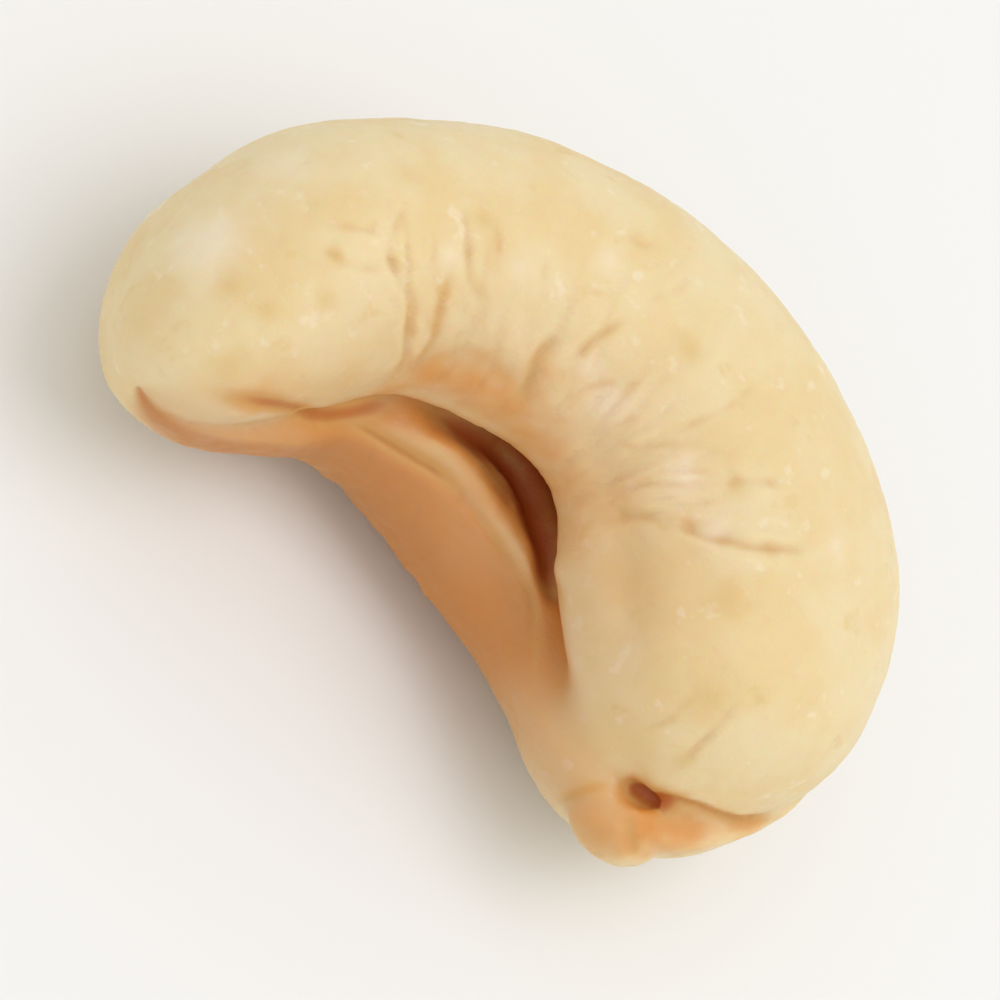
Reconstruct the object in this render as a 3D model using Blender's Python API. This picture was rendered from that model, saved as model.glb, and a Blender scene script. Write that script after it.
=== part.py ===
"""One whole cashew kernel without its skin, lying on its side.

The kernel is two seed leaves and a small germ that grew together. Each leaf is a sphere
moved by a formula: it runs from the head to the tail between the back edge, which both
leaves share, and its own edge along the hollow. +X runs along the kernel and +Z is up.
"""
import math

import bmesh
import bpy
import numpy as np
from mathutils import noise

NAME = "cashew_kernel"

# The kernel's length; every other size below is a fraction of it
LENGTH = 0.026

# Outlines seen from above, as points evenly spaced from the head's tip to the tail's
BACK_EDGE = (
    (-0.529, -0.182),
    (-0.504, -0.018),
    (-0.432, 0.164),
    (-0.268, 0.321),
    (-0.050, 0.418),
    (0.196, 0.411),
    (0.416, 0.284),
    (0.520, 0.072),
    (0.525, -0.086),
)
UPPER_HOLLOW_EDGE = (
    (-0.264, -0.271),
    (-0.218, -0.118),
    (-0.164, -0.018),
    (-0.086, 0.021),
    (-0.007, 0.039),
    (0.057, 0.021),
    (0.107, -0.040),
    (0.154, -0.115),
    (0.215, -0.195),
)
LOWER_HOLLOW_EDGE = (
    (-0.264, -0.271),
    (-0.196, -0.136),
    (-0.154, -0.061),
    (-0.082, -0.045),
    (0.007, -0.062),
    (0.102, -0.083),
    (0.175, -0.125),
    (0.229, -0.174),
    (0.293, -0.236),
)

# Height of each leaf's crown over the seam, at the same points
UPPER_CROWN = (0.164, 0.186, 0.200, 0.207, 0.207, 0.207, 0.204, 0.193, 0.171)
LOWER_CROWN = (0.175, 0.200, 0.218, 0.225, 0.225, 0.225, 0.221, 0.207, 0.186)

# Height over the seam of each leaf's widest line, along the hollow and on the back: the lower it
# is, the shallower the crease between the leaves
UPPER_RIM = (0.004, 0.014, 0.043, 0.064, 0.075, 0.071, 0.039, 0.014, 0.004)
LOWER_RIM = (0.004, 0.021, 0.064, 0.089, 0.100, 0.093, 0.061, 0.029, 0.011)
BACK_RIM = 0.005

# Where a leaf's widest line leaves its height on the back: across the leaf, and along it
RIM_ACROSS = (-0.4, 0.9)
RIM_ALONG = (0.7, 1.0)

# The roundness of the ends: 2 gives an ellipsoid, higher values blunter ends
END_POWER = 6.0

# The leaves overlap by twice this where they have grown together
GROWN_IN = 0.018

# How full each leaf is above its widest line and below it: lower values are flatter
DOME_POWER = 0.95
UPPER_UNDER_POWER = 0.65
LOWER_UNDER_POWER = 0.95

# The gap between the leaves on the hollow side. Places along the kernel run from -1 at the head
# to 1 at the tail, and places across it from -1 at the hollow to 1 on the back.
GAP_MIDDLE = 0.12
GAP_REACH = 0.26
GAP_WIDTH = 0.3
UPPER_GAP_ACROSS = -0.55
LOWER_GAP_ACROSS = -0.35
UPPER_GAP_DEPTH = 0.039
LOWER_GAP_DEPTH = 0.057

# The germ's rounded tip, low between the leaves at the tail, and the pit above it: the place, the
# half sizes, and the turn about the vertical of each
GERM_PLACE = (0.348, -0.147, -0.045)
GERM_SIZE = (0.066, 0.064, 0.048)
GERM_TURN = math.radians(-15)
PIT_PLACE = (0.336, -0.147, -0.001)
PIT_SIZE = (0.036, 0.021, 0.012)
PIT_TURN = math.radians(17)

# Uneven swelling of the surface: its height, the width of one swelling, and where it starts and
# is full, by height round the leaf's section from the widest line, 0, to the crown, 1
SWELL_HEIGHT = 0.008
SWELL_WIDTH = 0.214
SWELL_START = (-0.25, 0.25)

# Furrows that fan out from the hollow: how many from head to tail, how far they lean, how deep,
# where across the leaf they are deepest, and how far they reach across it and along it
FURROWS = 9
FURROW_LEAN = 0.8
FURROW_DEPTH = 0.0045
FURROW_ACROSS = -0.75
FURROW_REACH = 0.4
FURROW_SPREAD = 0.5
FURROW_START = (0.0, 0.5)

# Depth of the flat spot that the kernel rests on
FLAT_SPOT = 0.005

LEAF_SEGMENTS = 44
LEAF_RINGS = 58
LUMP_SEGMENTS = 16
LUMP_RINGS = 10
SHARP_ANGLE = math.radians(50)
COLOUR = (0.79, 0.62, 0.36, 1.0)
ROUGHNESS = 0.55


def curve(points, place):
    """Read a smooth curve through evenly spaced points, at places from 0 to their last index."""
    table = np.asarray(points).reshape(len(points), -1)
    last = len(table) - 1
    ends = np.vstack([2 * table[0] - table[1], table, 2 * table[-1] - table[-2]])
    index = np.clip(np.floor(place).astype(int), 0, last - 1)
    f = (place - index)[:, None]
    a, b, c, d = (ends[index + k] for k in range(4))
    return b + f * (c - a + f * (2 * a - 5 * b + 4 * c - d + f * (3 * b - a - 3 * c + d))) / 2


def bell(x):
    return np.exp(-x * x)


def ease(x, low, high):
    """Rise smoothly from 0 at low to 1 at high."""
    k = np.clip((x - low) / (high - low), 0, 1)
    return k * k * (3 - 2 * k)


def unit_sphere(segments, rings):
    bm = bmesh.new()
    bmesh.ops.create_uvsphere(bm, u_segments=segments, v_segments=rings, radius=1.0)
    return bm, np.array([vertex.co for vertex in bm.verts])


def place_points(bm, points):
    """Set a mesh's points, given as fractions of the kernel's length."""
    for vertex, point in zip(bm.verts, points):
        vertex.co = point * LENGTH
    bmesh.ops.recalc_face_normals(bm, faces=bm.faces)
    bm.normal_update()


def as_object(name, bm):
    mesh = bpy.data.meshes.new(name)
    bm.to_mesh(mesh)
    bm.free()
    return bpy.data.objects.new(name, mesh)


def add_relief(bm, outside, furrows):
    """Swell the outer surface unevenly and press furrows into it, along its normals."""
    normals = [vertex.normal.copy() for vertex in bm.verts]
    for vertex, normal, shown, furrow in zip(bm.verts, normals, outside, furrows):
        swelling = noise.noise(vertex.co / (SWELL_WIDTH * LENGTH)) * SWELL_HEIGHT * shown
        vertex.co += normal * (swelling - furrow * FURROW_DEPTH) * LENGTH


def seed_leaf(name, side, hollow_edge, crown, rim, under_power, gap_across, gap_depth):
    """One seed leaf: the sphere's poles become its tips. Side is 1 for the upper leaf, -1 for the lower."""
    bm, sphere = unit_sphere(LEAF_SEGMENTS, LEAF_RINGS)
    along = np.clip(sphere[:, 2], -1, 1)
    turn = np.arctan2(sphere[:, 1], sphere[:, 0])
    across = np.cos(turn)
    rise = np.abs(np.sin(turn))
    size = np.sqrt(np.clip(1 - np.abs(along) ** END_POWER, 0, 1))

    place = (along + 1) / 2 * (len(BACK_EDGE) - 1)
    back = curve(BACK_EDGE, place)
    hollow = curve(hollow_edge, place)
    plan = (back + hollow) / 2 + (back - hollow) / 2 * (across * size)[:, None]

    off_back = np.maximum(ease(-across, *RIM_ACROSS), ease(np.abs(along), *RIM_ALONG))
    widest = BACK_RIM + (curve(rim, place)[:, 0] - BACK_RIM) * off_back
    top = curve(crown, place)[:, 0]
    by_gap = bell((along - GAP_MIDDLE) / GAP_REACH)
    under = GROWN_IN - gap_depth * by_gap * bell((across - gap_across) / GAP_WIDTH)
    dome = widest + (top - widest) * size * rise**DOME_POWER
    underside = widest - (widest + under) * size * rise**under_power
    height = side * np.where(np.sin(turn) >= 0, dome, underside)
    place_points(bm, np.column_stack([plan, height]))

    fan = (0.5 + 0.5 * np.cos(math.pi * FURROWS * along + FURROW_LEAN * across)) ** 2
    near_hollow = bell((across - FURROW_ACROSS) / FURROW_REACH) * bell(along / FURROW_SPREAD)
    above_rim = ease(np.sin(turn), *FURROW_START)
    add_relief(bm, ease(np.sin(turn), *SWELL_START), fan * near_hollow * above_rim)
    return as_object(name, bm)


def lump(name, place, size, turn):
    """A small ellipsoid, turned about the vertical."""
    bm, sphere = unit_sphere(LUMP_SEGMENTS, LUMP_RINGS)
    x, y, z = (sphere * size).T
    turned_x = math.cos(turn) * x - math.sin(turn) * y
    turned_y = math.sin(turn) * x + math.cos(turn) * y
    place_points(bm, np.column_stack([turned_x, turned_y, z]) + place)
    return as_object(name, bm)


def block_below(name, top):
    """A block as large as the kernel, whose top face cuts the kernel's underside flat."""
    bm = bmesh.new()
    bmesh.ops.create_cube(bm, size=2.0)
    place_points(bm, np.array([vertex.co for vertex in bm.verts]) + (0, 0, top - 1))
    return as_object(name, bm)


def combine(target, tool, operation, tools):
    """Join a tool to the target, or cut it away, by a Boolean modifier."""
    tools.objects.link(tool)
    tool.hide_render = True
    tool.display_type = "WIRE"
    modifier = target.modifiers.new(tool.name, "BOOLEAN")
    modifier.operation = operation
    modifier.object = tool


def put_origin_below(mesh):
    """Move the points so that the origin is at the middle of the underside of their box."""
    points = np.array([vertex.co for vertex in mesh.vertices])
    low, high = points.min(axis=0), points.max(axis=0)
    origin = ((low[0] + high[0]) / 2, (low[1] + high[1]) / 2, low[2])
    mesh.vertices.foreach_set("co", (points - origin).ravel())
    mesh.update()


def kernel_material():
    material = bpy.data.materials.new("peeled kernel")
    material.use_nodes = True
    shader = material.node_tree.nodes["Principled BSDF"]
    shader.inputs["Base Color"].default_value = COLOUR
    shader.inputs["Roughness"].default_value = ROUGHNESS
    shader.inputs["Metallic"].default_value = 0.0
    return material


def main():
    for obj in list(bpy.data.objects):
        bpy.data.objects.remove(obj, do_unlink=True)
    parts = bpy.data.collections.new("Cashew kernel")
    tools = bpy.data.collections.new("Kernel tools")
    for collection in (parts, tools):
        bpy.context.scene.collection.children.link(collection)

    upper = seed_leaf("upper leaf", 1, UPPER_HOLLOW_EDGE, UPPER_CROWN, UPPER_RIM,
                      UPPER_UNDER_POWER, UPPER_GAP_ACROSS, UPPER_GAP_DEPTH)
    lower = seed_leaf("lower leaf", -1, LOWER_HOLLOW_EDGE, LOWER_CROWN, LOWER_RIM,
                      LOWER_UNDER_POWER, LOWER_GAP_ACROSS, LOWER_GAP_DEPTH)
    parts.objects.link(upper)
    combine(upper, lower, "UNION", tools)
    combine(upper, lump("germ", GERM_PLACE, GERM_SIZE, GERM_TURN), "UNION", tools)
    combine(upper, lump("pit", PIT_PLACE, PIT_SIZE, PIT_TURN), "DIFFERENCE", tools)
    combine(upper, block_below("flat spot", FLAT_SPOT - max(LOWER_CROWN)), "DIFFERENCE", tools)

    depsgraph = bpy.context.evaluated_depsgraph_get()
    mesh = bpy.data.meshes.new_from_object(upper.evaluated_get(depsgraph))
    mesh.name = NAME
    put_origin_below(mesh)
    mesh.shade_smooth()
    mesh.set_sharp_from_angle(angle=SHARP_ANGLE)
    mesh.materials.clear()
    mesh.materials.append(kernel_material())
    for obj in [upper, *tools.objects]:
        bpy.data.objects.remove(obj, do_unlink=True)
    bpy.data.collections.remove(tools)
    parts.objects.link(bpy.data.objects.new(NAME, mesh))


main()
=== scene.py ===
"""Looks of one whole peeled cashew kernel: its fine surface, its flesh, the floor, light and camera.

The frame's kernel is copied in fine facets. Swelling, furrows, wrinkles and folds are then pressed
into the copy by formula, and the same formulas give the places of its darker marks, which in the
slit, the pit and the creases are painted shade. Its pale and honey patches, and orange patches of
painted shade, lie where the photograph shows them. The hollow's amber is partly painted shade, and
the kernel's most closed-in places are painted orange and dark reddish as shade.
"""
import math

import bmesh
import bpy
import numpy as np
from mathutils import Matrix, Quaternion, Vector, noise
from mathutils.bvhtree import BVHTree


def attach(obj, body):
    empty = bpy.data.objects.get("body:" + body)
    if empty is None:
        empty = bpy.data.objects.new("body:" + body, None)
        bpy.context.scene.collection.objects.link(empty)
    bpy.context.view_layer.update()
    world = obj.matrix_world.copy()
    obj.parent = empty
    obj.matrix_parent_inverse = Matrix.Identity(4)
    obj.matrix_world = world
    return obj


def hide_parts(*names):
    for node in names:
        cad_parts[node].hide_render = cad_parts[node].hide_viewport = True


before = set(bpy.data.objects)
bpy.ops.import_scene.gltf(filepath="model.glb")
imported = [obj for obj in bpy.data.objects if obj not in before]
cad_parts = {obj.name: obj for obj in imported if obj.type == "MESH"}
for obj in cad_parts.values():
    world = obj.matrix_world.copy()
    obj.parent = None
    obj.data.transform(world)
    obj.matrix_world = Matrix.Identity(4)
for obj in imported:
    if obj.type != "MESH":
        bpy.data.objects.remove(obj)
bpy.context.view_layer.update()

NODE = "cashew_kernel"
MM = 0.001

# The photograph's view: the camera's place round the kernel, its roll, its lens and sensor in mm,
# what it looks at, and the nearest that it sees, in metres
CAMERA_AZIMUTH = math.radians(-19)
CAMERA_ELEVATION = math.radians(52)
CAMERA_ROLL = math.radians(60)
CAMERA_LENS = 300
CAMERA_SENSOR = 36
CAMERA_TARGET = Vector((0.14, -2.46, 5.8)) * MM
CLIP_START = 0.01

# The photograph's pixel that the camera looks at, the kernel's length in mm and in pixels, and how
# many pixels wide the render's view is
CENTRE_PIXEL = (830, 280)
KERNEL_LENGTH = 26
KERNEL_PIXELS = 180
PIXEL = KERNEL_LENGTH / KERNEL_PIXELS * MM
VIEW_PIXELS = 200
CAMERA_DISTANCE = VIEW_PIXELS * PIXEL * CAMERA_LENS / CAMERA_SENSOR

# The key light: its way from the target along the camera's back, up and right, its distance, its
# size and its power. The world's own light comes from all round.
KEY_WAY = (0.7, 0.12, 0.75)
KEY_DISTANCE = 0.3
KEY_SIZE = 0.24
KEY_POWER = 0.32
WORLD_LIGHT = 0.85

# The fine surface: the size of its facets, how often and by what share they are smoothed, how close
# the frame's points are that are welded first, and how often its facets are then halved
FINE_STEP = 0.13 * MM
SMOOTH_ROUNDS = 4
SMOOTH_SHARE = 0.5
WELD = 0.001 * MM
HALVINGS = 2

# The middle line of the kernel from head to tail, seen from above, the number of steps in which it
# is read, and the seam's height. Lengths are in mm.
SPINE = (
    (-10.3, -8.3),
    (-9.4, -4.2),
    (-7.75, -0.5),
    (-4.6, 2.05),
    (-0.75, 3.55),
    (3.3, 3.25),
    (6.65, 0.85),
    (8.3, -3.1),
    (9.4, -6.2),
)
SPINE_STEPS = 160
SEAM_HEIGHT = 5.7

# How amber the hollow is on each leaf, partly the flesh's own warmer tone and partly painted shade,
# most of it on the lower leaf's wall, which lies in shade; the angles round the spine between which
# it turns amber, how softly one leaf passes into the other, and how much of the amber is gone at the
# tail
UPPER_AMBER = 0.28
LOWER_AMBER = 0.90
AMBER_ANGLES = (math.radians(95), math.radians(155))
LEAF_BORDER = 0.3
AMBER_LOSS = 0.5
AMBER_LOSS_FROM = 0.85

# Low relief all over: height in mm, size of its lumps in mm, and the noise's seed
BROAD_SWELLING = (0.10, 4.0, 1)
FINE_SWELLING = (0.045, 1.7, 2)
SKIN_NET = (0.022, 0.9, 4)
GRAIN = (0.010, 0.32, 5)

# Bumps on the germ, the same way, and the pixel and the reach in mm round which they lie
GERM_BUMPS = (0.07, 0.8, 10)
GERM_PIXEL = (853, 345)
GERM_REACH = 1.6

# Fine furrows that fan out round the hollow: depth in mm, how often their pattern turns along the
# spine and in a radian round it, how far apart the two sides' patterns are, the angle round which
# they lie, how far they spread, how much of the spine they reach, and how brown they are
FAN_DEPTH = 0.07
FAN_TURNS = 30
FAN_TURNS_A_RADIAN = 1.2
FAN_SIDES_APART = 3
FAN_ANGLE = math.radians(138)
FAN_SPREAD = math.radians(32)
FAN_REACH = 0.33
FAN_BROWN = 0.15
FAN_SEED = 3

# Faint streaks along the lower leaf's side of the hollow: depth, pattern and brown in the same way
STREAK_DEPTH = 0.03
STREAK_TURNS = 5
STREAK_TURNS_A_RADIAN = 4.5
STREAK_BROWN = 0.12
STREAK_SEED = 11

# The shape of a pressed crease, in its own widths: how far it reaches, where its raised banks lie
# and how high they are, and how wide its stain is
CREASE_REACH = 4
BANK_PLACE = 2.2
BANK_HEIGHT = 0.3
STAIN_WIDTH = 1.3

# How a crease fades towards its ends, in shares of its length, and on surfaces that face away
END_FADE = (-0.15, 0.25)
FACING_FADE = (0.0, 0.4)

# Wear of the wrinkles: how much their width wobbles, with its lumps and seed, the least share of a
# wrinkle that is left, the size in mm and the seed of the noise that wears them, and the values of
# that noise between which a wrinkle comes back
WEAR_WOBBLE = (0.45, 0.45, 8)
WEAR_LEAST = 0.4
WEAR_SIZE = 0.8
WEAR_SEED = 9
WEAR_FADE = (-0.4, 0.3)

# Wrinkles traced from the photograph: width and depth in mm, how dark their stain is, which is partly
# their own tint and partly painted shade in them, and the pixels that each runs through
WRINKLES = {
    "long one by the head": (
        0.13, 0.07, 0.36,
        ((811, 221), (809, 226), (808, 231), (810, 236), (813, 241), (812, 249), (812, 256)),
    ),
    "dark spot on it": (0.14, 0.06, 0.38, ((808, 231), (809, 233), (810, 236))),
    "lower cross line": (0.12, 0.04, 0.32, ((794, 230), (797, 231), (800, 233), (806, 234))),
    "upper cross line": (0.12, 0.04, 0.30, ((796, 225), (802, 226), (808, 227))),
    "long one on top": (0.14, 0.07, 0.40, ((823, 222), (824, 229), (824, 235), (826, 241), (825, 247))),
    "short one beside it": (0.12, 0.05, 0.30, ((829, 224), (830, 230), (829, 236))),
    "faint one on top": (0.12, 0.05, 0.25, ((839, 232), (839, 238), (837, 244))),
    "between the long ones": (0.12, 0.04, 0.25, ((817, 226), (817, 233), (818, 240), (819, 247))),
    "between the pale patches": (0.12, 0.04, 0.30, ((847, 258), (850, 257), (854, 256))),
    "fan, first": (0.12, 0.05, 0.35, ((852, 268), (858, 270), (863, 269), (870, 269), (876, 271))),
    "fan, second": (0.12, 0.05, 0.25, ((862, 274), (868, 274), (874, 275))),
    "fan, third": (0.12, 0.06, 0.30, ((863, 281), (868, 281), (874, 280))),
    "fan, fourth": (0.12, 0.05, 0.25, ((866, 286), (872, 287), (880, 286))),
    "fan, far end": (0.14, 0.05, 0.40, ((875, 277), (879, 276), (886, 277))),
    "back, first": (0.12, 0.04, 0.30, ((856, 227), (859, 229), (862, 228))),
    "back, second": (0.12, 0.04, 0.20, ((860, 240), (865, 238), (869, 235))),
    "tail, dark": (0.15, 0.07, 0.30, ((864, 335), (868, 331), (871, 328), (877, 321))),
    "tail, faint": (0.12, 0.04, 0.25, ((858, 326), (864, 324), (869, 319))),
}

# Folds of the hollow and the tail, traced the same way. Their darker stain is painted shade in the
# folds, the slit and the pit. A negative depth is a ridge, and its third number is how much of the
# hollow's amber and painted shade it lacks, so that it stands lighter, as lit.
FOLDS = {
    "dip along the upper lip": (
        0.60, 0.14, 0.12,
        ((847, 262), (850, 270), (853, 280), (855, 291), (856, 303), (852, 313)),
    ),
    "dip above the slit": (
        0.50, 0.13, 0.12,
        ((808, 257), (813, 254), (818, 252), (824, 252), (830, 255), (836, 260)),
    ),
    "crescent above the slit": (0.19, 0.15, 0.42, ((834, 260), (836, 256), (838, 251), (842, 247))),
    "crescent beside it": (0.14, 0.08, 0.36, ((845, 252), (849, 248), (855, 244))),
    "line under the head": (
        0.32, 0.10, 0.85,
        ((774, 259), (784, 261), (795, 263), (803, 262), (811, 259)),
    ),
    "start of the lower crease": (
        0.20, 0.12, 0.75,
        ((797, 264), (803, 266), (808, 269), (813, 272), (818, 275), (822, 279)),
    ),
    "rest of the lower crease": (
        0.14, 0.07, 0.45,
        ((822, 279), (828, 286), (832, 292), (836, 299), (837, 306), (837, 313), (836, 320)),
    ),
    "ridge of the lower leaf": (
        0.32, -0.14, 0.65,
        ((807, 265), (815, 268), (820, 271), (825, 276), (830, 283), (835, 292), (839, 300)),
    ),
    "slope from the ridge": (
        0.26, 0.06, 0.75,
        ((818, 265), (824, 269), (829, 275), (834, 281), (838, 288), (840, 296)),
    ),
    "slit": (
        0.34, 0.32, 1.00,
        (
            (815, 261), (820, 264), (825, 267), (831, 272), (835, 278),
            (838, 285), (840, 291), (840, 296), (841, 300),
        ),
    ),
    "pit": (0.42, 0.12, 1.00, ((854, 337), (858, 338), (862, 340), (866, 342))),
    "crease from the pit to the end": (0.20, 0.10, 0.75, ((861, 339), (868, 341), (877, 344), (886, 344))),
    "crease down the germ": (0.16, 0.08, 0.60, ((856, 343), (856, 347), (857, 351))),
    "crease before the pit": (0.15, 0.06, 0.55, ((842, 340), (847, 338), (852, 337))),
}

# The faint seam line along the back: its ends along the spine, how many points it has, how it
# wavers, its width and depth in mm, and how brown it is
SEAM_ENDS = (0.04, 0.96)
SEAM_POINTS = 240
SEAM_WAVER = 0.06
SEAM_WAVES = 23
SEAM_WIDTH = 0.14
SEAM_DEPTH = 0.05
SEAM_BROWN = 0.2

# Wrinkles drawn at random out from the hollow: how many a side, their places along the spine, their
# angle at the hollow, how far they reach in degrees, how they wave, their widths and depths in mm,
# and how brown they are
RAYS_A_SIDE = 15
RAY_PLACES = (0.2, 0.8)
RAY_SHIFT = 0.03
RAY_START = math.radians(155)
RAY_REACH = (25, 70)
RAY_POINTS = 4
RAY_WAVE = 0.012
RAY_WIDTH = (0.12, 0.24)
RAY_DEPTH = (0.04, 0.10)
RAY_BROWN = 0.45
RAY_SEED = 7

# Where the traced wrinkles lie, the drawn ones are smaller
TRACED_PLACES = (0.25, 0.75)
TRACED_SHARE = 0.55

# The line along which the leaves run smoothly into each other between the slit and the pit, how
# far from it the surface is evened out, in mm, and by how many rounds
JOIN = ((842, 306), (843, 310), (843, 314), (845, 320), (848, 326), (852, 331))
JOIN_REACH = 0.9
JOIN_ROUNDS = 300

# How brown the surface is where it starts to be evened out and where it fully is, and by how many
# rounds
BROWN_EVENED = (0.3, 0.8)
BROWN_ROUNDS = 2

# Patches of colour traced from the photograph: how far across in mm, how strong, and the pixel in
# the middle
PATCHES = {
    "pale": (
        (2.2, 0.8, (772, 228)),
        (1.6, 0.5, (787, 213)),
        (1.1, 0.8, (852, 261)),
        (0.8, 0.6, (848, 254)),
        (1.1, 0.8, (867, 275)),
        (0.9, 0.8, (873, 286)),
        (0.9, 0.4, (897, 290)),
        (0.9, 0.5, (852, 232)),
        (0.8, 0.5, (820, 231)),
        (0.8, 0.4, (834, 234)),
        (1.0, 0.4, (843, 313)),
    ),
    "honey": (
        (0.7, 0.8, (797, 231)),
        (1.0, 0.6, (776, 237)),
        (0.7, 0.6, (783, 242)),
        (0.7, 0.6, (795, 240)),
        (1.0, 0.6, (776, 253)),
        (0.8, 0.7, (827, 224)),
        (0.7, 0.4, (858, 228)),
        (0.9, 0.6, (868, 250)),
        (0.7, 0.6, (877, 277)),
        (1.2, 0.6, (876, 300)),
        (1.1, 0.5, (872, 320)),
        (0.8, 0.6, (867, 332)),
        (0.9, 0.4, (812, 215)),
    ),
    # The third kind is painted shade: orange where the trough above the slit, the upper lip, the head's
    # underside and the germ lie in shade
    "warm_shade": (
        (1.2, 0.5, (808, 258)),
        (1.6, 0.8, (816, 255)),
        (1.8, 0.75, (824, 257)),
        (1.9, 0.75, (831, 261)),
        (1.9, 0.6, (838, 268)),
        (1.7, 0.5, (843, 277)),
        (1.4, 0.3, (845, 287)),
        (1.3, 0.7, (782, 260)),
        (1.3, 0.7, (794, 262)),
        (0.9, 0.3, (839, 254)),
        (1.7, 0.22, (853, 279)),
        (1.5, 0.12, (855, 296)),
        (1.7, 0.4, (849, 345)),
        (2.1, 0.9, (860, 345)),
        (1.7, 0.8, (868, 346)),
        (1.3, 0.5, (880, 345)),
    ),
}

# How ragged a patch's edge is: how much it varies, the size of its lumps in mm, and the seed
RAGGED = (0.35, 0.5, 6)

# How closed in a point is by the kernel itself, which the material paints as shade: how many rays
# are cast, how far they reach and how far off the surface they start in mm, how far the lowest one
# leans, and how many rounds even the answer out
SHUT_RAYS = 12
SHUT_REACH = 3.5
SHUT_START = 0.05
SHUT_LEAN = 0.85
SHUT_ROUNDS = 3

# The least share with which a point takes part in the evening out
LEAST_SHARE = 0.01

# How far the noise of one seed lies from the next one's, and how thin the lines of creased noise are
SEED_STEP = np.array((17.3, 5.1, 9.7))
LINE_THINNESS = 3

# Colours of the flesh. Orange and the deepest dark are painted shade, amber is partly the flesh's
# own and partly painted shade, tan is partly the wrinkles' own tint and partly painted shade, and the
# darkest stain is painted shade in the slit, the pit and the creases
CREAM = (0.79, 0.65, 0.38)
WARM_CREAM = (0.77, 0.59, 0.30)
PALE = (0.86, 0.75, 0.56)
HONEY = (0.70, 0.49, 0.19)
TAN_AND_SHADE = (0.64, 0.34, 0.10)
ORANGE_SHADE = (0.66, 0.28, 0.055)
AMBER_AND_SHADE = (0.52, 0.185, 0.03)
BROWN_SHADE = (0.48, 0.12, 0.015)
DEEP_SHADE = (0.50, 0.10, 0.015)

# Light inside the flesh, its shine, and the fine bump of its skin
INNER_LIGHT = 0.55
INNER_REACH = (1.0, 0.38, 0.12)
INNER_SCALE = 0.9 * MM
SHINE = 0.4
BUMP_STRENGTH = 0.6
BUMP_HEIGHT = 0.03 * MM

# The floor: its size in metres, and its paper's colour and roughness
FLOOR_SIZE = 2.0
PAPER = (0.84, 0.83, 0.81)
PAPER_ROUGHNESS = 0.8


def curve(points, place):
    """Read a smooth curve through evenly spaced points, at places from 0 to their last index."""
    table = np.asarray(points, float)
    last = len(table) - 1
    ends = np.vstack([2 * table[0] - table[1], table, 2 * table[-1] - table[-2]])
    index = np.clip(np.floor(place).astype(int), 0, last - 1)
    f = (place - index)[:, None]
    a, b, c, d = (ends[index + k] for k in range(4))
    return b + f * (c - a + f * (2 * a - 5 * b + 4 * c - d + f * (3 * b - a - 3 * c + d))) / 2


def sampled(points, per_step=12):
    """The points of a smooth curve through the given ones, close together."""
    places = np.linspace(0, len(points) - 1, (len(points) - 1) * per_step + 1)
    return curve(points, places)


def bell(x):
    return np.exp(-x * x)


def ease(x, low, high):
    """Rise smoothly from 0 at low to 1 at high."""
    k = np.clip((x - low) / (high - low), 0, 1)
    return k * k * (3 - 2 * k)


def nearest_of(points, line):
    """Each point's distance to the nearest point of a line, and which one that is."""
    away = np.linalg.norm(points[:, None] - line[None], axis=2)
    return away.min(axis=1), away.argmin(axis=1)


def noise_at(points, size, seed):
    """Smooth noise from about -1 to 1, whose lumps are about the given size in mm."""
    spots = points / size + seed * SEED_STEP
    return np.array([noise.noise(Vector(spot)) for spot in spots])


def creased(points, size, seed):
    """Noise from 0 to 1 that is highest along thin, winding lines."""
    return (1 - np.minimum(np.abs(noise_at(points, size, seed)) * LINE_THINNESS, 1)) ** 2


def fine_copy():
    """A copy of the frame's kernel in facets of one small size, without the coarse mesh's edges."""
    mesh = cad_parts[NODE].data.copy()
    kernel = bpy.data.objects.new("kernel", mesh)
    bpy.context.scene.collection.objects.link(kernel)
    bm = bmesh.new()
    bm.from_mesh(mesh)
    bmesh.ops.remove_doubles(bm, verts=bm.verts, dist=WELD)
    bm.to_mesh(mesh)
    bm.free()
    halve = kernel.modifiers.new("halve", "SUBSURF")
    halve.levels = HALVINGS
    halve.render_levels = HALVINGS
    remesh = kernel.modifiers.new("remesh", "REMESH")
    remesh.mode = "VOXEL"
    remesh.voxel_size = FINE_STEP
    smooth = kernel.modifiers.new("smooth", "SMOOTH")
    smooth.factor = SMOOTH_SHARE
    smooth.iterations = SMOOTH_ROUNDS
    depsgraph = bpy.context.evaluated_depsgraph_get()
    fine = bpy.data.meshes.new_from_object(kernel.evaluated_get(depsgraph))
    kernel.modifiers.clear()
    kernel.data = fine
    bpy.data.meshes.remove(mesh)
    fine.name = "kernel"
    fine.shade_smooth()
    return kernel


def points_of(mesh):
    points = np.empty(len(mesh.vertices) * 3)
    mesh.vertices.foreach_get("co", points)
    return points.reshape(-1, 3) / MM


def normals_of(mesh):
    normals = np.empty(len(mesh.vertices) * 3)
    mesh.vertex_normals.foreach_get("vector", normals)
    return normals.reshape(-1, 3)


def edges_of(mesh):
    edges = np.empty(len(mesh.edges) * 2, int)
    mesh.edges.foreach_get("vertices", edges)
    return edges.reshape(-1, 2)


def tree_of(mesh):
    faces = [tuple(polygon.vertices) for polygon in mesh.polygons]
    return BVHTree.FromPolygons([vertex.co / MM for vertex in mesh.vertices], faces)


def blurred(mesh, values, rounds):
    """The values evened out between neighbouring points."""
    a, b = edges_of(mesh).T
    count = np.bincount(a, minlength=len(values)) + np.bincount(b, minlength=len(values))
    for _ in range(rounds):
        total = np.bincount(a, values[b], len(values)) + np.bincount(b, values[a], len(values))
        values = 0.5 * values + 0.5 * total / np.maximum(count, 1)
    return values


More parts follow.
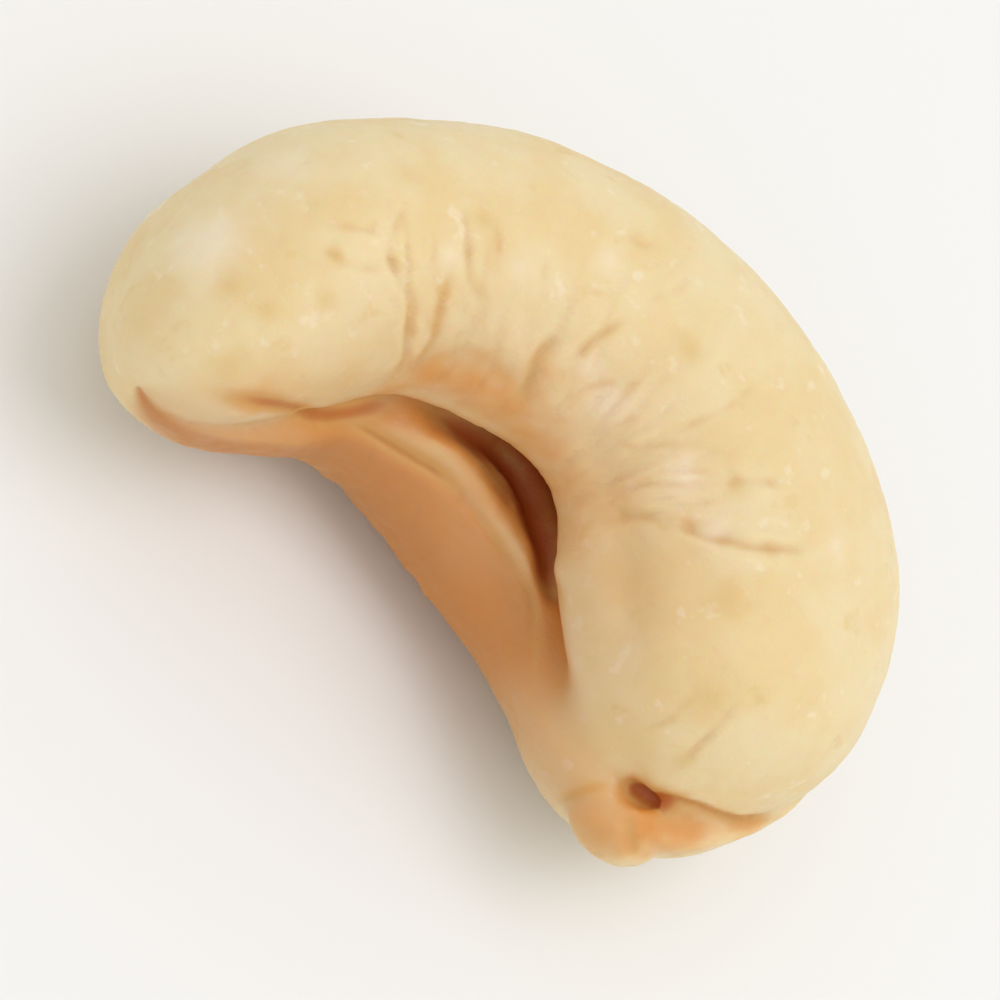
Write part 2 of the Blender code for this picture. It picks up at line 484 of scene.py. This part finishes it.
def relaxed(mesh, points, shares, rounds):
    """The points moved towards the middle of their neighbours, each by its own share."""
    edges = edges_of(mesh)
    a, b = edges[(shares[edges] > LEAST_SHARE).any(axis=1)].T
    size = len(points)
    count = np.bincount(a, minlength=size) + np.bincount(b, minlength=size)
    pull = (0.5 * shares / np.maximum(count, 1))[:, None]
    moved = points.copy()
    for _ in range(rounds):
        step = moved[b] - moved[a]
        total = [np.bincount(a, axis, size) - np.bincount(b, axis, size) for axis in step.T]
        moved += np.column_stack(total) * pull
    return moved


def spine_places(points):
    """Each point's place along the spine, 0 at the head and 1 at the tail, and its angle round it.

    The angle is 0 on the back, 90 degrees on top and 180 degrees at the hollow.
    """
    places = np.linspace(0, 1, SPINE_STEPS + 1)
    line = curve(SPINE, places * (len(SPINE) - 1))
    away = ((points[:, None, :2] - line[None]) ** 2).sum(axis=2)
    nearest = away.argmin(axis=1)
    step = np.gradient(line, axis=0)
    outward = np.column_stack([-step[:, 1], step[:, 0]])
    outward /= np.linalg.norm(outward, axis=1)[:, None]
    out = ((points[:, :2] - line[nearest]) * outward[nearest]).sum(axis=1)
    return places[nearest], np.arctan2(points[:, 2] - SEAM_HEIGHT, out)


def round_spine(tree, place, angle, ahead=0.01):
    """The point of the kernel's surface at a place along the spine and an angle round it."""
    places = np.clip(np.array([place, place + ahead]), 0, 1) * (len(SPINE) - 1)
    start, end = curve(SPINE, places)
    step = end - start
    outward = Vector((-step[1], step[0], 0)).normalized()
    ray = outward * math.cos(angle) + Vector((0, 0, math.sin(angle)))
    point, normal, _, _ = tree.ray_cast(Vector((*start, SEAM_HEIGHT)), ray)
    return point, normal


def shut_in(points, normals, tree):
    """How much of each point's outlook the kernel itself takes up close by, from 0 to 1."""
    golden = math.pi * (3 - math.sqrt(5))
    rays = []
    for i in range(SHUT_RAYS):
        height = 1 - (i + 0.5) / SHUT_RAYS * SHUT_LEAN
        radius = math.sqrt(1 - height * height)
        rays.append(Vector((radius * math.cos(golden * i), radius * math.sin(golden * i), height)))
    upright = Vector((0, 0, 1))
    taken = np.zeros(len(points))
    for i, (point, normal) in enumerate(zip(points, normals)):
        outward = Vector(normal)
        turn = upright.rotation_difference(outward)
        start = Vector(point) + outward * SHUT_START
        hits = sum(tree.ray_cast(start, turn @ ray, SHUT_REACH)[0] is not None for ray in rays)
        taken[i] = hits / SHUT_RAYS
    return taken


class Camera:
    """The photograph's camera, and the kernel's points that its pixels show."""

    def __init__(self):
        self.back = Vector((
            math.sin(CAMERA_AZIMUTH) * math.cos(CAMERA_ELEVATION),
            -math.cos(CAMERA_AZIMUTH) * math.cos(CAMERA_ELEVATION),
            math.sin(CAMERA_ELEVATION),
        ))
        self.turn = (-self.back).to_track_quat("-Z", "Y") @ Quaternion((0, 0, 1), CAMERA_ROLL)
        self.right = self.turn @ Vector((1, 0, 0))
        self.up = self.turn @ Vector((0, 1, 0))
        self.place = CAMERA_TARGET + self.back * CAMERA_DISTANCE

    def seen(self, tree, pixel):
        """The point of the kernel that a pixel shows, in mm, and the surface's normal there."""
        x = (pixel[0] - CENTRE_PIXEL[0]) * PIXEL
        y = (CENTRE_PIXEL[1] - pixel[1]) * PIXEL
        toward = CAMERA_TARGET + self.right * x + self.up * y - self.place
        point, normal, _, _ = tree.ray_cast(self.place / MM, toward.normalized())
        return point, normal

    def trace(self, tree, pixels):
        """The points and normals of the kernel along a curve through pixels."""
        return [self.seen(tree, pixel) for pixel in sampled(pixels)]


class Surface:
    """The fine kernel's points while the relief is pressed into them, in mm, and their marks.

    Rays are cast at the surface as it was before any relief, and the normals stay those too.
    """

    def __init__(self, mesh):
        self.mesh = mesh
        self.tree = tree_of(mesh)
        self.points = points_of(mesh)
        self.normals = normals_of(mesh)
        self.place, self.angle = spine_places(self.points)
        self.below = ease(-np.sin(self.angle), -LEAF_BORDER, LEAF_BORDER)
        # The hollow's amber: partly the flesh's own warmer tone, partly painted shade
        self.hollow = ease(np.abs(self.angle), *AMBER_ANGLES)
        self.hollow *= UPPER_AMBER + (LOWER_AMBER - UPPER_AMBER) * self.below
        self.hollow *= 1 - AMBER_LOSS * ease(self.place, AMBER_LOSS_FROM, 1)
        self.brown_and_shade = np.zeros(len(self.points))
        self.lit_ridges = np.zeros(len(self.points))
        self.wobble = 1 + self.lumpy(*WEAR_WOBBLE)
        wear = ease(noise_at(self.points, WEAR_SIZE, WEAR_SEED), *WEAR_FADE)
        self.left = WEAR_LEAST + (1 - WEAR_LEAST) * wear

    def lumpy(self, height, size, seed):
        """Smooth lumps of a height and a size, at each point."""
        return height * noise_at(self.points, size, seed)

    def swell(self, germ):
        """Give the whole surface its low relief, and stain its furrows darker."""
        angle = np.abs(self.angle)
        fan_spots = (
            self.place * FAN_TURNS,
            angle * FAN_TURNS_A_RADIAN,
            np.sign(self.angle) * FAN_SIDES_APART,
        )
        fan = creased(np.column_stack(fan_spots), 1, FAN_SEED)
        fan *= bell((angle - FAN_ANGLE) / FAN_SPREAD) * bell((self.place - 0.5) / FAN_REACH)
        streak_spots = (
            self.place * STREAK_TURNS,
            self.angle * STREAK_TURNS_A_RADIAN,
            np.zeros(len(self.points)),
        )
        streaks = creased(np.column_stack(streak_spots), 1, STREAK_SEED) * self.hollow * self.below
        net_depth, net_size, net_seed = SKIN_NET
        by_germ = bell(np.linalg.norm(self.points - np.array(germ), axis=1) / GERM_REACH)
        relief = self.lumpy(*BROAD_SWELLING) + self.lumpy(*FINE_SWELLING) + self.lumpy(*GRAIN)
        relief += self.lumpy(*GERM_BUMPS) * by_germ
        relief -= net_depth * creased(self.points, net_size, net_seed)
        relief -= FAN_DEPTH * fan + STREAK_DEPTH * streaks
        self.points = self.points + self.normals * relief[:, None]
        self.brown_and_shade = FAN_BROWN * fan + STREAK_BROWN * streaks

    def press(self, path, width, depth, tint, worn=False):
        """Press a crease along a path of points with normals, and mark it.

        A crease is marked with a darker stain, partly its own tint and partly painted shade in it. A
        negative depth raises a ridge instead, which is marked to lose the hollow's amber and painted
        shade, so that it stands lighter, as lit. A worn one wobbles in width and is gone in places.
        """
        path = [(point, normal) for point, normal in path if point is not None]
        line = np.array([point for point, _ in path])
        facing = np.array([normal for _, normal in path])
        low, high = line.min(axis=0) - CREASE_REACH * width, line.max(axis=0) + CREASE_REACH * width
        chosen = np.flatnonzero(((self.points > low) & (self.points < high)).all(axis=1))
        away, nearest = nearest_of(self.points[chosen], line)
        along = nearest / max(len(line) - 1, 1)
        taper = ease(along, *END_FADE) * ease(1 - along, *END_FADE)
        taper *= ease((self.normals[chosen] * facing[nearest]).sum(axis=1), *FACING_FADE)
        if worn:
            away = away * self.wobble[chosen]
            taper = taper * self.left[chosen]
        shape = bell(away / width) - BANK_HEIGHT * bell((away - BANK_PLACE * width) / width)
        self.points[chosen] -= self.normals[chosen] * (shape * taper * depth)[:, None]
        marks = self.brown_and_shade if depth > 0 else self.lit_ridges
        stain = bell(away / (STAIN_WIDTH * width)) * taper * tint
        marks[chosen] = np.maximum(marks[chosen], stain)

    def even_out(self, shares, rounds):
        self.points = relaxed(self.mesh, self.points, shares, rounds)

    def mark(self, name, values):
        """Store a mark from 0 to 1 for each point, which the material reads."""
        attribute = self.mesh.attributes.new(name, "FLOAT", "POINT")
        attribute.data.foreach_set("value", np.clip(values, 0, 1).astype(np.float32))

    def settle(self):
        """Put the points back into the mesh, none of them below the floor."""
        self.points[:, 2] = np.maximum(self.points[:, 2], 0)
        self.mesh.vertices.foreach_set("co", (self.points * MM).ravel())
        self.mesh.update()


def press_seam(surface):
    line = []
    for place in np.linspace(*SEAM_ENDS, SEAM_POINTS):
        angle = SEAM_WAVER * math.sin(SEAM_WAVES * place)
        line.append(round_spine(surface.tree, place, angle))
    surface.press(line, SEAM_WIDTH, SEAM_DEPTH, SEAM_BROWN)


def press_rays(surface):
    """Press wrinkles that run out from the hollow, on the upper side and then on the lower one."""
    draw = np.random.default_rng(RAY_SEED)
    for side in (1, -1):
        for start in np.linspace(*RAY_PLACES, RAYS_A_SIDE):
            traced = side > 0 and TRACED_PLACES[0] < start < TRACED_PLACES[1]
            share = TRACED_SHARE if traced else 1
            place = start + draw.uniform(-RAY_SHIFT, RAY_SHIFT)
            reach = math.radians(draw.uniform(*RAY_REACH))
            wave = draw.uniform(-RAY_WAVE, RAY_WAVE, RAY_POINTS)
            angles = RAY_START - reach * np.arange(RAY_POINTS) / (RAY_POINTS - 1)
            spots = sampled(np.column_stack([place + wave, side * angles]))
            path = [round_spine(surface.tree, *spot) for spot in spots]
            width = draw.uniform(*RAY_WIDTH) * share
            depth = draw.uniform(*RAY_DEPTH) * share
            surface.press(path, width, depth, RAY_BROWN * share, worn=True)


def mark_patches(surface, camera):
    """Store how pale and honey-coloured each point is, and how much orange painted shade it has."""
    edge = 1 + surface.lumpy(*RAGGED)
    for name, patches in PATCHES.items():
        shares = np.zeros(len(surface.points))
        for across, strength, pixel in patches:
            middle, _ = camera.seen(surface.tree, pixel)
            if middle is None:
                continue
            away = np.linalg.norm(surface.points - np.array(middle), axis=1)
            shares = 1 - (1 - shares) * (1 - strength * bell(away / (across / 2) * edge))
        surface.mark(name, shares)


def even_join(surface, camera):
    line = np.array([point for point, _ in camera.trace(surface.tree, JOIN) if point is not None])
    away, _ = nearest_of(surface.points, line)
    surface.even_out(bell(away / JOIN_REACH), JOIN_ROUNDS)


def sculpt(mesh, camera):
    """Press the relief into the fine surface and store the marks that the material reads."""
    surface = Surface(mesh)
    germ, _ = camera.seen(surface.tree, GERM_PIXEL)
    surface.swell(germ)
    for creases, worn in ((WRINKLES, True), (FOLDS, False)):
        for width, depth, tint, pixels in creases.values():
            surface.press(camera.trace(surface.tree, pixels), width, depth, tint, worn)
    press_seam(surface)
    press_rays(surface)
    mark_patches(surface, camera)
    surface.even_out(ease(surface.brown_and_shade, *BROWN_EVENED), BROWN_ROUNDS)
    even_join(surface, camera)
    surface.settle()
    shut_shade = shut_in(surface.points, normals_of(mesh), tree_of(mesh))
    # Darker stain of wrinkles and folds: partly their own tint, and painted shade in the slit, the pit and
    # the creases
    surface.mark("brown_and_shade", blurred(mesh, surface.brown_and_shade, 1))
    # How closed in each point is, painted by the material as orange shade and, deepest in, as dark reddish
    # shade
    surface.mark("shut_shade", blurred(mesh, shut_shade, SHUT_ROUNDS))
    # The hollow's amber and painted shade, taken off the ridges so that they stand lighter, as lit
    surface.mark("hollow", surface.hollow * (1 - surface.lit_ridges))


def read_mark(tree, name):
    node = tree.nodes.new("ShaderNodeAttribute")
    node.attribute_name = name
    return node.outputs["Fac"]


def blend(tree, share, first, second):
    """Mix two colours by a share. The first is a socket or a colour."""
    node = tree.nodes.new("ShaderNodeMix")
    node.data_type = "RGBA"
    sockets = {socket.name: socket for socket in node.inputs if socket.enabled}
    tree.links.new(share, sockets["Factor"])
    if isinstance(first, bpy.types.NodeSocket):
        tree.links.new(first, sockets["A"])
    else:
        sockets["A"].default_value = (*first, 1)
    sockets["B"].default_value = (*second, 1)
    return next(socket for socket in node.outputs if socket.enabled)


def spread(tree, value, low, high, to_low=0.0, to_high=1.0):
    """Map a value between two limits smoothly to two others."""
    node = tree.nodes.new("ShaderNodeMapRange")
    node.interpolation_type = "SMOOTHSTEP"
    tree.links.new(value, node.inputs["Value"])
    node.inputs["From Min"].default_value = low
    node.inputs["From Max"].default_value = high
    node.inputs["To Min"].default_value = to_low
    node.inputs["To Max"].default_value = to_high
    return node.outputs["Result"]


def lumps(tree, size, detail, seed):
    """Noise whose lumps are about the given size in mm."""
    place = tree.nodes.new("ShaderNodeTexCoord")
    node = tree.nodes.new("ShaderNodeTexNoise")
    node.noise_dimensions = "4D"
    node.inputs["Scale"].default_value = 1 / (size * MM)
    node.inputs["Detail"].default_value = detail
    node.inputs["W"].default_value = seed
    tree.links.new(place.outputs["Object"], node.inputs["Vector"])
    return node.outputs["Fac"]


def flesh_colour(tree):
    """Mottled cream, with each further tint laid over it by its own share."""
    mottle = lumps(tree, size=2.4, detail=3, seed=1)
    flecks = lumps(tree, size=0.55, detail=2, seed=2)
    streaks = lumps(tree, size=0.9, detail=3, seed=3)
    shut_shade = read_mark(tree, "shut_shade")
    brown_and_shade = read_mark(tree, "brown_and_shade")
    layers = (
        (spread(tree, mottle, low=0.35, high=0.65), WARM_CREAM),
        (spread(tree, flecks, low=0.60, high=0.74, to_high=0.45), PALE),
        (spread(tree, streaks, low=0.60, high=0.75, to_high=0.45), HONEY),
        (read_mark(tree, "honey"), HONEY),
        (read_mark(tree, "pale"), PALE),
        # Partly the flesh's own amber, partly painted shade on the hollow's walls
        (read_mark(tree, "hollow"), AMBER_AND_SHADE),
        # Painted shade: the orange patches where the surface lies in shade
        (read_mark(tree, "warm_shade"), ORANGE_SHADE),
        # Painted shade: closed-in places turn orange
        (spread(tree, shut_shade, low=0.08, high=0.60, to_high=0.9), ORANGE_SHADE),
        # Tan to deep reddish along wrinkles and folds: partly their own tint, and painted shade in the
        # slit, the pit and the creases
        (spread(tree, brown_and_shade, low=0, high=0.6), TAN_AND_SHADE),
        (spread(tree, brown_and_shade, low=0.5, high=1), BROWN_SHADE),
        # Painted shade: the most closed-in places, deep in the slit and the pit, turn dark reddish
        (spread(tree, shut_shade, low=0.58, high=0.88, to_high=0.85), DEEP_SHADE),
    )
    colour = CREAM
    for share, tint in layers:
        colour = blend(tree, share, colour, tint)
    return colour


def skin_bump(tree):
    """Fine bumps of two sizes, too small for the facets."""
    height = tree.nodes.new("ShaderNodeMath")
    height.operation = "ADD"
    tree.links.new(lumps(tree, size=0.11, detail=3, seed=5), height.inputs[0])
    tree.links.new(lumps(tree, size=0.4, detail=3, seed=6), height.inputs[1])
    bump = tree.nodes.new("ShaderNodeBump")
    bump.inputs["Strength"].default_value = BUMP_STRENGTH
    bump.inputs["Distance"].default_value = BUMP_HEIGHT
    tree.links.new(height.outputs[0], bump.inputs["Height"])
    return bump.outputs["Normal"]


def flesh():
    material = bpy.data.materials.new("flesh")
    material.use_nodes = True
    tree = material.node_tree
    shader = tree.nodes["Principled BSDF"]
    tree.links.new(flesh_colour(tree), shader.inputs["Base Color"])
    wax = lumps(tree, size=0.8, detail=2, seed=4)
    rough = spread(tree, wax, low=0.3, high=0.7, to_low=0.42, to_high=0.62)
    tree.links.new(rough, shader.inputs["Roughness"])
    tree.links.new(skin_bump(tree), shader.inputs["Normal"])
    shader.inputs["Subsurface Weight"].default_value = INNER_LIGHT
    shader.inputs["Subsurface Radius"].default_value = INNER_REACH
    shader.inputs["Subsurface Scale"].default_value = INNER_SCALE
    shader.inputs["Specular IOR Level"].default_value = SHINE
    return material


def make_kernel(camera):
    kernel = fine_copy()
    sculpt(kernel.data, camera)
    kernel.data.materials.clear()
    kernel.data.materials.append(flesh())
    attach(kernel, "root")
    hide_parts(NODE)


def make_floor():
    bpy.ops.mesh.primitive_plane_add(size=FLOOR_SIZE)
    floor = bpy.context.object
    floor.name = "floor"
    paper = bpy.data.materials.new("paper")
    paper.use_nodes = True
    shader = paper.node_tree.nodes["Principled BSDF"]
    shader.inputs["Base Color"].default_value = (*PAPER, 1)
    shader.inputs["Roughness"].default_value = PAPER_ROUGHNESS
    floor.data.materials.append(paper)


def make_camera(camera):
    data = bpy.data.cameras.new("camera")
    data.lens = CAMERA_LENS
    data.sensor_width = CAMERA_SENSOR
    data.clip_start = CLIP_START
    body = bpy.data.objects.new("camera", data)
    bpy.context.scene.collection.objects.link(body)
    body.location = camera.place
    body.rotation_mode = "QUATERNION"
    body.rotation_quaternion = camera.turn
    bpy.context.scene.camera = body


def make_light(camera):
    """One large soft lamp to the right of the camera, and white light from all round."""
    data = bpy.data.lights.new("key", "AREA")
    data.size = KEY_SIZE
    data.energy = KEY_POWER
    lamp = bpy.data.objects.new("key", data)
    bpy.context.scene.collection.objects.link(lamp)
    back, up, right = KEY_WAY
    offset = (camera.back * back + camera.up * up + camera.right * right) * KEY_DISTANCE
    lamp.location = CAMERA_TARGET + offset
    lamp.rotation_mode = "QUATERNION"
    lamp.rotation_quaternion = (-offset).to_track_quat("-Z", "Y")
    world = bpy.data.worlds.new("world")
    world.use_nodes = True
    background = world.node_tree.nodes["Background"]
    background.inputs["Color"].default_value = (1, 1, 1, 1)
    background.inputs["Strength"].default_value = WORLD_LIGHT
    bpy.context.scene.world = world
    bpy.context.scene.view_settings.view_transform = "Standard"


camera = Camera()
make_kernel(camera)
make_floor()
make_camera(camera)
make_light(camera)
